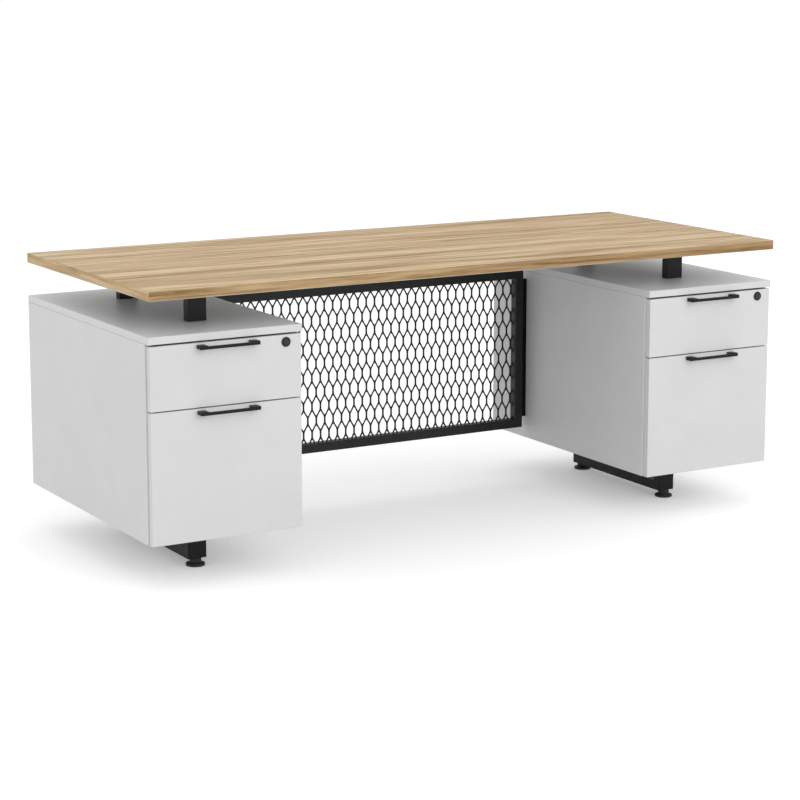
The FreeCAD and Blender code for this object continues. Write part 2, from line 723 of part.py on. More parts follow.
def lock_centre(side):
    return (
        f"{pedestal_left[side]} + pedestal_width - lock_inset",
        "box_front_bottom + box_front_height - lock_drop",
    )


def make_lock(side):
    x, z = lock_centre(side)
    rim_front = "face - lock_flange_height"
    name = side + "_lock_housing"
    rim = new_cylinder(name + "_rim", "lock_flange_radius", "lock_flange_height", "Y", x, rim_front, z)
    length = "lock_flange_height + lock_barrel_length"
    barrel = new_cylinder(name + "_barrel", "lock_barrel_radius", length, "Y", x, rim_front, z)
    bore = new_cylinder(
        name + "_bore",
        "lock_plug_radius + running_play",
        f"{length} + 2 * cut_overrun",
        "Y",
        x,
        f"{rim_front} - cut_overrun",
        z,
    )
    finish(cut_from(name, fuse(name + "_solid", [rim, barrel]), bore))

    name = side + "_lock_plug"
    plug_front = f"{rim_front} - lock_plug_proud"
    plug_length = f"cam_front - ({plug_front})"
    plug = new_cylinder(name + "_body", "lock_plug_radius", plug_length, "Y", x, plug_front, z)
    tail = new_cylinder(name + "_tail", "lock_tail_radius", "lock_tail_length", "Y", x, "cam_front", z)
    keyway = new_box(
        name + "_keyway",
        f"{x} - keyway_width / 2",
        f"{plug_front} - cut_overrun",
        f"{z} - keyway_length / 2",
        "keyway_width",
        "keyway_depth + cut_overrun",
        "keyway_length",
    )
    finish(cut_from(name, fuse(name + "_solid", [plug, tail]), keyway))

    cam = new_body(side + "_lock_cam")
    tongue = rectangle("0", "0", "cam_length + cam_width / 2", "cam_width")
    eye = [("cam_length", "cam_width / 2")]
    pad(cam, "XZ_Plane", "0", "cam_thickness", [tongue], eye, "lock_tail_radius")
    finish(cam, f"{x} - cam_length", "cam_front", f"{z} - cam_width / 2")


def make_desktop_screws():
    length = "tube_depth + desktop_screw_grip"
    places = spread("riser_length", "desktop_screw_inset")
    screws = []
    for side in sides:
        x = f"{pedestal_left[side]} + pedestal_width / 2"
        for end in end_places:
            name = f"{side}_{end}_desktop_screw"
            y = f"riser_front + {places[end]}"
            screws.append(new_screw(name, "desktop_screw", length, "Z", x, y, "desktop_bottom - tube_depth"))
    finish(group("desktop_screws", screws))


def make_pedestal_bolts():
    frames = {
        "riser": {"axis": "Z", "front": "riser_front", "length": "riser_length", "seat": "pedestal_top - board"},
        "base": {"axis": "-Z", "front": "base_front", "length": "base_length", "seat": "base_height + board"},
    }
    bolts = []
    for side in sides:
        x = f"{pedestal_left[side]} + pedestal_width / 2"
        for frame, at in frames.items():
            posts = {"front": "tube_depth / 2", "rear": f"{at['length']} - tube_depth / 2"}
            for post, shift in posts.items():
                name = f"{side}_{frame}_{post}_bolt"
                y = f"{at['front']} + {shift}"
                bolts.append(new_screw(name, "bolt", "bolt_length", at["axis"], x, y, at["seat"]))
    finish(group("pedestal_bolts", bolts))


def make_bracket_screws():
    places = spread("bracket_length", "bracket_screw_inset")
    y = "bracket_front + (bracket_depth + bracket_wall) / 2"
    inward = {"left": 1, "right": -1}
    screws = []
    for side in sides:
        sign = inward[side]
        flanges = {
            "panel": {"axis": "X" if sign > 0 else "-X", "seat": f"{sign} * (panel_left - bracket_wall)"},
            "pedestal": {
                "axis": "-X" if sign > 0 else "X",
                "seat": f"{sign} * (panel_left - bracket_width + bracket_wall)",
            },
        }
        for flange, at in flanges.items():
            for end in end_places:
                name = f"{side}_{flange}_{end}_screw"
                z = f"bracket_bottom + {places[end]}"
                length = "bracket_screw_length"
                screws.append(new_screw(name, "bracket_screw", length, at["axis"], at["seat"], y, z))
    finish(group("bracket_screws", screws))


def make_handle_screws(side, drawer):
    length = "front_board + handle_screw_grip"
    z = f"{drawer_face_bottom(drawer)} + {handle_centre_height(drawer)}"
    screws = []
    for hand, sign in (("left", -1), ("right", 1)):
        name = f"{side}_{drawer}_handle_{hand}_screw"
        x = f"{pedestal_left[side]} + pedestal_width / 2 + {sign} * handle_hole_spacing / 2"
        screws.append(new_screw(name, "handle_screw", length, "-Y", x, "face + front_board", z))
    finish(group(f"{side}_{drawer}_drawer_handle_screws", screws))


make_desktop()
for side in sides:
    make_riser_frame(side)
    make_base_frame(side)
    for end in ("front", "rear"):
        make_foot(side, end)
    make_pedestal(side)
    make_bracket(side)
    for drawer in drawers:
        make_drawer_front(side, drawer)
        make_handle(side, drawer)
        make_drawer_box(side, drawer)
        make_slides(side, drawer)
        make_handle_screws(side, drawer)
    make_lock(side)
make_panel_frame()
make_panel_mesh()
make_desktop_screws()
make_pedestal_bolts()
make_bracket_screws()
doc.recompute()

for item in doc.Objects:
    if "Invalid" in item.State or "Error" in item.State:
        raise RuntimeError(f"{item.Label} failed: {item.State}")
for before, feature in cuts:
    if feature.Shape.Volume >= before.Shape.Volume:
        raise RuntimeError(f"{feature.Label} removes nothing")
for piece in finished:
    if piece.Shape.isNull() or not piece.Shape.isValid():
        raise RuntimeError(f"{piece.Label} has no valid shape")

os.makedirs("parts", exist_ok=True)
for piece in finished:
    piece.Shape.exportStep(f"parts/{piece.Label}.step")
print(len(finished), "sub-parts written")
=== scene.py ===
# Office desk: an oak board top on black steel risers, two white drawer pedestals, and a mesh panel between.
# X runs to the right, Y to the back, Z up. Everything is in metres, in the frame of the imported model.
import math

import bmesh
import bpy
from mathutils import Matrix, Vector


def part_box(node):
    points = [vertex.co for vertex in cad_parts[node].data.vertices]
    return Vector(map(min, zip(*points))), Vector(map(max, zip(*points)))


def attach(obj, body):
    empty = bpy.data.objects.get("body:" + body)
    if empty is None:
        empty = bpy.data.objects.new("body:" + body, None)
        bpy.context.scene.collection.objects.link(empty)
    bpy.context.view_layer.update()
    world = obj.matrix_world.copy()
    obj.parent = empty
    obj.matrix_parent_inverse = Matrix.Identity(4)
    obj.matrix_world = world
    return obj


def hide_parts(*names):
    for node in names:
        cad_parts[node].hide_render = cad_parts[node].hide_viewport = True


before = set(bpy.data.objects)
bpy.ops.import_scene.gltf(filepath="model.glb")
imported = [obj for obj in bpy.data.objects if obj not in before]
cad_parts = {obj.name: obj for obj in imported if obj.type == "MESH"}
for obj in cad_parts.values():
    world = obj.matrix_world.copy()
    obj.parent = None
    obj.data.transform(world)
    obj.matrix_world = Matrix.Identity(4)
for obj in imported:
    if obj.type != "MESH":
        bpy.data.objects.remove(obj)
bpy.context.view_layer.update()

print("stage: frame loaded,", len(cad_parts), "nodes")


# Shader maths: a socket that can be added, scaled and compared in plain expressions
class Wire:
    def __init__(self, shader, socket):
        self.shader = shader
        self.socket = socket

    def maths(self, operation, first, second=0.0):
        return self.shader.add("Math", {"operation": operation}, {0: first, 1: second})

    def __add__(self, other):
        return self.maths("ADD", self, other)

    __radd__ = __add__

    def __mul__(self, other):
        return self.maths("MULTIPLY", self, other)

    def __sub__(self, other):
        return self.maths("SUBTRACT", self, other)

    def __rsub__(self, other):
        return self.maths("SUBTRACT", other, self)

    def __truediv__(self, other):
        return self.maths("DIVIDE", self, other)

    def __gt__(self, other):
        return self.maths("GREATER_THAN", self, other)

    def __lt__(self, other):
        return self.maths("LESS_THAN", self, other)

    def __pow__(self, other):
        return self.maths("POWER", self, other)

    def __abs__(self):
        return self.maths("ABSOLUTE", self)

    def cycle(self):  # 0 to 1 over and over
        return self.maths("FRACT", self)

    def clamped(self):
        return self.maths("MAXIMUM", self.maths("MINIMUM", self, 1.0), 0.0)

    def smooth(self, low, high):  # 0 below low, 1 above high, eased between
        values = {"Value": self, "From Min": low, "From Max": high}
        return self.shader.add("MapRange", {"interpolation_type": "SMOOTHSTEP"}, values)


class Shader:
    def __init__(self, name):
        self.material = bpy.data.materials.new(name)
        self.material.use_nodes = True
        self.tree = self.material.node_tree
        self.surface = self.tree.nodes["Principled BSDF"]
        self.place = self.add("TexCoord", output="Object")
        parts = self.add("SeparateXYZ", values={0: self.place}, output=None)
        self.x, self.y, self.z = (Wire(self, parts.outputs[i]) for i in range(3))

    # Any node, by its type, its settings and the values or links of its sockets
    def add(self, kind, settings=(), values=(), output=0):
        node = self.tree.nodes.new("ShaderNode" + kind)
        for name, value in dict(settings).items():
            setattr(node, name, value)
        for name, value in dict(values).items():
            self.feed(node.inputs[name], value)
        return node if output is None else Wire(self, node.outputs[output])

    def feed(self, socket, value):
        if isinstance(value, Wire):
            self.tree.links.new(value.socket, socket)
        elif socket.type == "RGBA":
            socket.default_value = (*value, 1)
        else:
            socket.default_value = value

    # Noise by its scale or its stretch along X, Y and Z, then its detail, roughness and distortion
    def noise(self, kind, vector=None):
        scale, *others = kind
        vector = vector or self.place
        if isinstance(scale, tuple):
            vector = self.add("Mapping", values={"Vector": vector, "Scale": scale})
            scale = 1.0
        others = dict(zip(("Detail", "Roughness", "Distortion"), others))
        return self.add("TexNoise", values={"Vector": vector, "Scale": scale, **others})

    def ramp(self, tone, stops, ease="LINEAR"):  # each stop is a position with a grey or a colour
        node = self.add("ValToRGB", values={0: tone}, output=None)
        elements = node.color_ramp.elements
        while len(elements) < len(stops):
            elements.new(0.5)
        for element, (position, colour) in zip(elements, stops):
            element.position = position
            element.color = (*colour, 1) if isinstance(colour, tuple) else (colour, colour, colour, 1)
        node.color_ramp.interpolation = ease
        return Wire(self, node.outputs[0])

    def blend(self, factor, first, second):
        return self.add("Mix", {"data_type": "RGBA"}, {0: factor, 6: first, 7: second}, output=2)

    def bump(self, height, distance, strength):
        return self.add("Bump", values={"Height": height, "Distance": distance, "Strength": strength})

    def finish(self, **values):
        for name, value in values.items():
            self.feed(self.surface.inputs[name.replace("_", " ")], value)
        return self.material


def linear(red, green, blue):  # from the 0 to 255 of a picture
    def one(value):
        value /= 255
        return value / 12.92 if value <= 0.04045 else ((value + 0.055) / 1.055) ** 2.4

    return (one(red), one(green), one(blue))


# Oak-look laminate: long soft bands, wandering growth lines, streaks, fine grain and pores, painted shade
# that darkens the top towards the right, with an edge band all round whose grain runs along the edge, and a
# plain balancing sheet below
oak = {
    "stops": [(0.08, linear(154, 120, 79)), (0.52, linear(200, 173, 135)), (0.92, linear(230, 208, 170))],
    "edgeStops": [
        (0.30, linear(122, 94, 62)), (0.48, linear(171, 141, 102)),
        (0.68, linear(203, 175, 134)), (0.88, linear(226, 199, 160)),
    ],
    "backer": linear(202, 201, 199),
    "bandStops": [
        (0.0, 0.82), (0.035, 0.76), (0.10, 0.38), (0.16, 0.42), (0.215, 0.64), (0.31, 0.38),
        (0.38, 0.70), (0.45, 0.5), (0.62, 0.48), (0.755, 0.38), (0.815, 0.66), (0.96, 0.44),
    ],
    "driftNoise": ((0.9, 2.6, 1.0), 2.0),
    "rippleNoise": ((6.0, 20.0, 20.0), 3.0, 0.55),
    "broad": ((0.7, 14.0, 14.0), 3.0, 0.55, 0.3),
    "streak": ((1.7, 62.0, 62.0), 3.0, 0.6),
    "fine": ((5.0, 230.0, 230.0), 3.0, 0.6),
    "grain": ((14.0, 760.0, 760.0), 2.0, 0.6),
    "pores": ((38.0, 1400.0, 1400.0), 2.0, 0.5),
    "poresRange": (0.60, 0.74),
    "fade": ((1.6, 11.0, 11.0), 2.0),
    "fadeRange": (0.42, 0.62),
    "longEdge": ((3.4, 20.0, 105.0), 4.0, 0.6, 0.3),
    "shortEdge": ((20.0, 5.0, 105.0), 4.0, 0.6, 0.3),
    "drift": 0.030,  # how far the grain wanders over the length
    "ripple": 0.012,
    "ringsPerMetre": 22.0,
    "ringWander": 4.0,
    "ringSharpness": 5,
    "tone": {
        "bands": 0.55, "broad": 0.9, "streak": 1.5, "fine": 1.3, "grain": 0.5, "ring": 0.34, "pores": 0.10,
    },
    "relief": {"grain": 0.6, "streak": 0.3, "pores": 0.8, "ring": 0.2},
    "shadeToRight": 0.055,  # painted shade: taken off the tone for each metre to the right, as the light falls off there
    "bandSkin": 0.0011,
    "bandGrain": 0.25,
    "endLift": 0.20,  # the bands of the short edges are lighter
    "endFacing": 0.7,
    "roughness": 0.44,
    "roughGrain": 0.10,
    "roughPores": 0.08,
    "bump": (0.00012, 0.5),
    "specular": 0.05,
}


def makeOak(name, box):
    shader = Shader(name)
    low, high = box
    drift = (shader.noise(oak["driftNoise"]) - 0.5) * oak["drift"]
    ripple = (shader.noise(oak["rippleNoise"]) - 0.5) * oak["ripple"]
    across = shader.y + drift + ripple
    warped = shader.add("CombineXYZ", values={0: shader.x, 1: across, 2: shader.z})
    bands = shader.ramp((across - low.y) / (high.y - low.y), oak["bandStops"], "EASE")
    broad, streak, fine = (shader.noise(oak[kind], warped) - 0.5 for kind in ("broad", "streak", "fine"))
    grain = shader.noise(oak["grain"], warped)
    pores = shader.noise(oak["pores"]).smooth(*oak["poresRange"])
    fade = shader.noise(oak["fade"]).smooth(*oak["fadeRange"])
    ring = (across * oak["ringsPerMetre"] + broad * oak["ringWander"]).cycle() ** oak["ringSharpness"]
    weight = oak["tone"]
    tone = 0.5 + (bands - 0.5) * weight["bands"] + broad * weight["broad"] + streak * weight["streak"]
    tone = tone + fine * weight["fine"] + (grain - 0.5) * weight["grain"]
    # Painted shade: the tone darkens towards the right, as the light falls off across the top
    tone = tone - ring * fade * weight["ring"] - pores * weight["pores"] - shader.x * oak["shadeToRight"]

    facing = shader.add("SeparateXYZ", values={0: shader.add("TexCoord", output="Normal")})
    endOn = abs(facing) > oak["endFacing"]
    longEdge = shader.noise(oak["longEdge"])
    shortEdge = shader.noise(oak["shortEdge"]) + oak["endLift"]
    edgeTone = longEdge + (shortEdge - longEdge) * endOn + (grain - 0.5) * oak["bandGrain"]
    onEdge = (shader.z < high.z - oak["bandSkin"]) * (shader.z > low.z + oak["bandSkin"])
    colour = shader.blend(onEdge, shader.ramp(tone, oak["stops"]), shader.ramp(edgeTone, oak["edgeStops"]))
    colour = shader.blend(shader.z < low.z + oak["bandSkin"], colour, oak["backer"])
    weight = oak["relief"]
    relief = grain * weight["grain"] + streak * weight["streak"]
    relief = relief - pores * weight["pores"] - ring * weight["ring"]
    return shader.finish(
        Base_Color=colour,
        Roughness=oak["roughness"] + (1 - grain) * oak["roughGrain"] + pores * oak["roughPores"],
        Normal=shader.bump(relief, *oak["bump"]),
        Specular_IOR_Level=oak["specular"],
    )


# White laminate: fine pearl texture, the faintest mottling, and painted shade as dark hairlines in the seams
# where two boards meet
laminate = {
    "colour": linear(223, 223, 223),
    "shade": linear(220, 220, 220),
    "mottle": (9.0, 4.0, 0.55),
    "mottleRange": (0.3, 0.7),
    # painted shade: the colour of the dark hairlines that stand in for the shadow in the seams between boards
    "joint": linear(150, 150, 150),
    "seamShadeHalf": 0.00035,
    "seamShadeOver": 0.001,  # how far the upright joints run past the back's lower end
    "pearl": (1500.0, 2.0, 0.5),
    "bump": (0.00003, 0.6),
    "roughness": 0.38,
    "spread": 0.10,
    "specular": 0.4,
}


def makeLaminate(name):
    shader = Shader(name)
    mottle = shader.noise(laminate["mottle"]).smooth(*laminate["mottleRange"])
    pearl = shader.noise(laminate["pearl"])
    backLow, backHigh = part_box("right_pedestal_back")
    half = laminate["seamShadeHalf"]
    level = abs(shader.z - backHigh.z) < half
    upright = (abs(abs(shader.x) - backLow.x) < half) + (abs(abs(shader.x) - backHigh.x) < half)
    behind = (shader.y > backLow.y) * (shader.z < backHigh.z)
    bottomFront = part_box("right_pedestal_bottom")[0].y
    below = (shader.z < backLow.z + laminate["seamShadeOver"]) * (shader.y > bottomFront)
    # Mask of the painted seam shade: level with the back's top, and upright at the back's ends where the
    # boards meet
    joint = (level + upright * (behind + below)).clamped()
    board = shader.blend(mottle, laminate["colour"], laminate["shade"])
    return shader.finish(
        Base_Color=shader.blend(joint, board, laminate["joint"]),
        Roughness=laminate["roughness"] + pearl * laminate["spread"],
        Normal=shader.bump(pearl, *laminate["bump"]),
        Specular_IOR_Level=laminate["specular"],
    )


# Black powder coat: near black with the orange peel of a baked coat and a little dust in the tone
powder = {
    "colour": linear(27, 27, 28),
    "shade": linear(20, 20, 21),
    "dust": (14.0, 4.0, 0.6),
    "dustRange": (0.3, 0.7),
    "peel": (700.0, 3.0, 0.55),
    "fine": (2600.0, 2.0, 0.5),
    "fineRelief": 0.4,
    "bump": (0.00006, 0.7),
    "roughness": 0.46,
    "spread": 0.16,
}


# A scale below 1 darkens the colour, for a copy of the coat with painted shade
def makePowder(name, paintedShadeScale=1.0, specular=0.30):
    shader = Shader(name)
    fine = shader.noise(powder["fine"])
    light, dark = (tuple(part * paintedShadeScale for part in powder[kind]) for kind in ("colour", "shade"))
    return shader.finish(
        Base_Color=shader.blend(shader.noise(powder["dust"]).smooth(*powder["dustRange"]), light, dark),
        Roughness=powder["roughness"] + (fine - 0.5) * powder["spread"],
        Normal=shader.bump(shader.noise(powder["peel"]) + fine * powder["fineRelief"], *powder["bump"]),
        Specular_IOR_Level=specular,
    )


# Satin black of the handles and locks: smoother than the frames, with a soft sheen
satin = {
    "fine": (3000.0, 2.0, 0.5),
    "wide": (60.0, 3.0, 0.5),
    "wideRange": (0.35, 0.7),
    "lighter": 1.25,
    "bump": (0.00002, 0.5),
    "fineSpread": 0.12,
    "wideSpread": 0.05,
}


def makeSatin(name, colour, roughness, specular=0.35):
    shader = Shader(name)
    fine = shader.noise(satin["fine"])
    wide = shader.noise(satin["wide"])
    lighter = tuple(part * satin["lighter"] for part in colour)
    return shader.finish(
        Base_Color=shader.blend(wide.smooth(*satin["wideRange"]), colour, lighter),
        Roughness=roughness + (fine - 0.5) * satin["fineSpread"] + (wide - 0.5) * satin["wideSpread"],
        Normal=shader.bump(fine, *satin["bump"]),
        Specular_IOR_Level=specular,
    )


# Bright zinc plate: rolled along Y, cloudy, with the faint blue and straw tints of passivation
zinc = {
    "colour": linear(166, 169, 174),
    "straw": linear(171, 167, 156),
    "strawRange": (0.52, 0.72),
    "blue": linear(150, 156, 167),
    "blueRange": (0.55, 0.75),
    "rolled": ((900.0, 8.0, 900.0), 3.0, 0.6),
    "cloud": ((60.0, 22.0, 60.0), 4.0, 0.6, 0.5),
    "bump": (0.00003, 0.5),
    "roughness": 0.30,
    "rolledSpread": 0.16,
    "cloudSpread": 0.2,
}


def makeZinc(name):
    shader = Shader(name)
    rolled = shader.noise(zinc["rolled"])
    cloud = shader.noise(zinc["cloud"])
    tint = shader.blend(cloud.smooth(*zinc["strawRange"]), zinc["colour"], zinc["straw"])
    return shader.finish(
        Base_Color=shader.blend((1 - cloud).smooth(*zinc["blueRange"]), tint, zinc["blue"]),
        Metallic=1.0,
        Roughness=zinc["roughness"] + rolled * zinc["rolledSpread"] + (cloud - 0.5) * zinc["cloudSpread"],
        Normal=shader.bump(rolled, *zinc["bump"]),
    )


# Light grey powder coat of the drawer boxes
coat = {
    "colour": linear(214, 215, 217),
    "shade": linear(210, 211, 214),
    "dust": (10.0, 3.0, 0.5),
    "dustRange": (0.3, 0.7),
    "peel": (620.0, 3.0, 0.55),
    "bump": (0.00008, 0.6),
    "roughness": 0.42,
    "spread": 0.14,
    "specular": 0.45,
}


def makeDrawerCoat(name):
    shader = Shader(name)
    peel = shader.noise(coat["peel"])
    dust = shader.noise(coat["dust"]).smooth(*coat["dustRange"])
    return shader.finish(
        Base_Color=shader.blend(dust, coat["colour"], coat["shade"]),
        Roughness=coat["roughness"] + (peel - 0.5) * coat["spread"],
        Normal=shader.bump(peel, *coat["bump"]),
        Specular_IOR_Level=coat["specular"],
    )


# Moulded black plastic of the feet and levers: spark-eroded grain and a few scuffs
plastic = {
    "colour": linear(34, 34, 35),
    "scuffed": linear(62, 62, 62),
    "scuff": ((90.0, 90.0, 540.0), 3.0, 0.6),
    "scuffRange": (0.58, 0.8),
    "scuffShare": 0.5,
    "grain": (1800.0, 3.0, 0.6),
    "bump": (0.00006, 0.6),
    "roughness": 0.52,
    "spread": 0.12,
    "specular": 0.4,
}


def makePlastic(name):
    shader = Shader(name)
    grain = shader.noise(plastic["grain"])
    scuff = shader.noise(plastic["scuff"]).smooth(*plastic["scuffRange"]) * plastic["scuffShare"]
    return shader.finish(
        Base_Color=shader.blend(scuff, plastic["colour"], plastic["scuffed"]),
        Roughness=plastic["roughness"] + grain * plastic["spread"],
        Normal=shader.bump(grain, *plastic["bump"]),
        Specular_IOR_Level=plastic["specular"],
    )


def dress(material, *names):
    for name in names:
        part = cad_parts[name]
        part.data.materials.clear()
        part.data.materials.append(material)


sides = ("left", "right")
drawers = ("box", "file")
boards = ("top", "bottom", "outer_side", "inner_side", "back")
oakTop = makeOak("oakTop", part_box("desktop"))
whiteBoard = makeLaminate("whiteBoard")
frameBlack = makePowder("frameBlack")
# Darker copies of the same coat, as painted shade: the base frames, and darker still the panel brackets that
# sit in shade
baseShadedBlack = makePowder("baseShadedBlack", paintedShadeScale=0.7, specular=0.20)
bracketShadedBlack = makePowder("bracketShadedBlack", paintedShadeScale=0.4, specular=0.10)
handleBlack = makeSatin("handleBlack", linear(10, 10, 11), roughness=0.40, specular=0.24)
lockBlack = makeSatin("lockBlack", linear(22, 22, 24), roughness=0.28)
lockFace = makeSatin("lockFace", linear(54, 54, 57), roughness=0.3)
zincPlate = makeZinc("zincPlate")
drawerCoat = makeDrawerCoat("drawerCoat")
footPlastic = makePlastic("footPlastic")

dress(oakTop, "desktop")
dress(frameBlack, "privacy_panel_frame", "privacy_panel_mesh")
dress(zincPlate, "desktop_screws", "pedestal_bolts", "bracket_screws")
for side in sides:
    dress(whiteBoard, *(f"{side}_pedestal_{board}" for board in boards))
    dress(frameBlack, side + "_riser_frame")
    dress(baseShadedBlack, side + "_base_frame")
    dress(bracketShadedBlack, side + "_panel_bracket")
    dress(footPlastic, side + "_front_foot", side + "_rear_foot")
    dress(lockBlack, side + "_lock_housing")
    dress(lockFace, side + "_lock_plug")
    dress(zincPlate, side + "_lock_cam")
    for drawer in drawers:
        name = f"{side}_{drawer}"
        dress(whiteBoard, name + "_drawer_front")
        dress(handleBlack, name + "_drawer_handle")
        dress(drawerCoat, name + "_drawer_box")
        dress(zincPlate, name + "_drawer_handle_screws", name + "_drawer_slides")
        dress(zincPlate, name + "_middle_slides", name + "_cabinet_slides")
print("stage: materials on the frame")


# Modelling helpers: every piece starts from a primitive and ends with its place in its mesh
def fresh():
    if bpy.context.object and bpy.context.object.mode == "EDIT":
        bpy.ops.object.mode_set(mode="OBJECT")
    bpy.ops.object.select_all(action="DESELECT")


def only(piece):
    fresh()
    piece.select_set(True)
    bpy.context.view_layer.objects.active = piece


def newCube(low, high):  # from its lowest to its highest corner
    fresh()
    low, high = Vector(low), Vector(high)
    bpy.ops.mesh.primitive_cube_add(size=1, location=(low + high) / 2)
    bpy.context.object.scale = high - low
    bpy.ops.object.transform_apply(location=True, rotation=True, scale=True)
    return bpy.context.object


def newCircle(place, radius, count, turn):
    fresh()
    bpy.ops.mesh.primitive_circle_add(vertices=count, radius=radius, location=place, rotation=turn)
    bpy.ops.object.transform_apply(location=True, rotation=True, scale=True)
    return bpy.context.object


facingAlong = 0.9  # the least share of a normal along an axis, for a face that looks that way


# Opens the piece in edit mode and selects those of its faces, edges or verts that pass the test
def pick(piece, kind, test):
    if bpy.context.object != piece or piece.mode != "EDIT":
        only(piece)
        bpy.ops.object.mode_set(mode="EDIT")
    bpy.ops.mesh.select_mode(type={"faces": "FACE", "edges": "EDGE", "verts": "VERT"}[kind])
    bpy.ops.mesh.select_all(action="DESELECT")
    shape = bmesh.from_edit_mesh(piece.data)
    for part in getattr(shape, kind):
        if test(part):
            part.select_set(True)
    shape.select_flush_mode()
    bmesh.update_edit_mesh(piece.data)


def modify(piece, kind, **settings):
    only(piece)
    modifier = piece.modifiers.new(kind.lower(), kind)
    for name, value in settings.items():
        setattr(modifier, name, value)
    bpy.ops.object.modifier_apply(modifier=modifier.name)
    return piece


def joined(pieces):
    only(pieces[0])
    for piece in pieces:
        piece.select_set(True)
    bpy.ops.object.join()
    return bpy.context.object


def copyOf(piece, shift):
    twin = piece.copy()
    twin.data = piece.data.copy()
    bpy.context.scene.collection.objects.link(twin)
    only(twin)
    bpy.ops.transform.translate(value=shift)
    bpy.ops.object.transform_apply(location=True, rotation=True, scale=True)
    return twin


def softened(piece, width, segments=2, angle=40):  # rounds every edge sharper than the angle
    settings = {"width": width, "segments": segments, "angle_limit": math.radians(angle)}
    return modify(piece, "BEVEL", limit_method="ANGLE", **settings)


def cutOut(piece, tool):
    modify(piece, "BOOLEAN", operation="DIFFERENCE", object=tool, solver="EXACT")
    bpy.data.objects.remove(tool)
    return piece


def done(piece, name, material, body, replaced=(), angle=35):
    only(piece)
    bpy.ops.object.transform_apply(location=True, rotation=True, scale=True)
    bpy.ops.object.shade_smooth_by_angle(angle=math.radians(angle))
    piece.name = name
    piece.data.name = name
    piece.data.materials.clear()
    piece.data.materials.append(material)
    if replaced:
        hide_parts(*replaced)
    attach(piece, body)


mergeBelow = 0.000004  # for the points of a turned shape


# A turned shape: each step goes a way along the axis and sets the radius there. It is closed at both ends, or
# it is a ring whose last step meets its first one.
def turned(place, axis, steps, count, ring=False):
    turn = {"x": (0, math.radians(90), 0), "y": (math.radians(90), 0, 0), "z": (0, 0, 0)}[axis]
    along = {"x": Vector((1, 0, 0)), "y": Vector((0, 1, 0)), "z": Vector((0, 0, 1))}[axis]
    piece = newCircle(Vector(place) + along * steps[0][0], steps[0][1], count, turn)
    bpy.ops.object.mode_set(mode="EDIT")
    bpy.ops.mesh.select_mode(type="EDGE")
    bpy.ops.mesh.select_all(action="SELECT")
    if not ring:
        bpy.ops.mesh.edge_face_add()
        pick(piece, "edges", lambda edge: True)
    for (before, radiusBefore), (way, radius) in zip(steps, steps[1:]):
        bpy.ops.mesh.extrude_edges_move()
        bpy.ops.transform.translate(value=along * (way - before))
        grow = radius / radiusBefore
        middle = Vector(place) + along * way
        bpy.ops.transform.resize(value=(grow, grow, grow), center_override=middle)
    if not ring:
        bpy.ops.mesh.edge_face_add()
    bpy.ops.mesh.select_all(action="SELECT")
    bpy.ops.mesh.remove_doubles(threshold=mergeBelow)
    bpy.ops.mesh.select_all(action="SELECT")
    bpy.ops.mesh.normals_make_consistent(inside=False)
    bpy.ops.object.mode_set(mode="OBJECT")
    return piece


# Privacy panel: expanded sheet with staggered eye-shaped openings
net = {
    "pitchX": 0.026,
    "pitchZ": 0.078,
    "halfWidth": 0.0105,
    "halfStraight": 0.0085,
    "tip": 0.0267,
    "tipShare": 0.9,  # of the tip, past which only the tips lie
    "joint": 0.0088,
    "cuts": 2,
    "rounding": 0.2,
    "thickness": 0.0014,
    "eyeX": -0.0062,
    "eyeZ": 0.5065,
    "spareX": (3, 1.0),  # eyes past the right end, and pitches before the left one
    "spareZ": (2, 0.6),
    "merge": 0.00005,
}


def eyeOutline(place, halfWidth, halfStraight, tip, rounding):
    piece = newCircle(place, tip, 6, (math.radians(90), 0, 0))
    pick(piece, "verts", lambda vert: abs(vert.co.z - place[2]) < tip * net["tipShare"])
    corner = math.radians(60)
    scale = (halfWidth / (tip * math.sin(corner)), 1, halfStraight / (tip * math.cos(corner)))
    bpy.ops.transform.resize(value=scale, center_override=place)
    bpy.ops.mesh.select_all(action="SELECT")
    bpy.ops.mesh.subdivide(number_cuts=net["cuts"])
    if rounding:
        bpy.ops.mesh.vertices_smooth(factor=rounding)
    bpy.ops.object.mode_set(mode="OBJECT")
    return piece


# The start and the count of the eyes that cover low to high
def gridAlong(eye, pitch, low, high, spare, lead):
    start = eye - math.ceil((eye - low) / pitch + lead) * pitch
    return start, math.ceil((high - low) / pitch) + spare


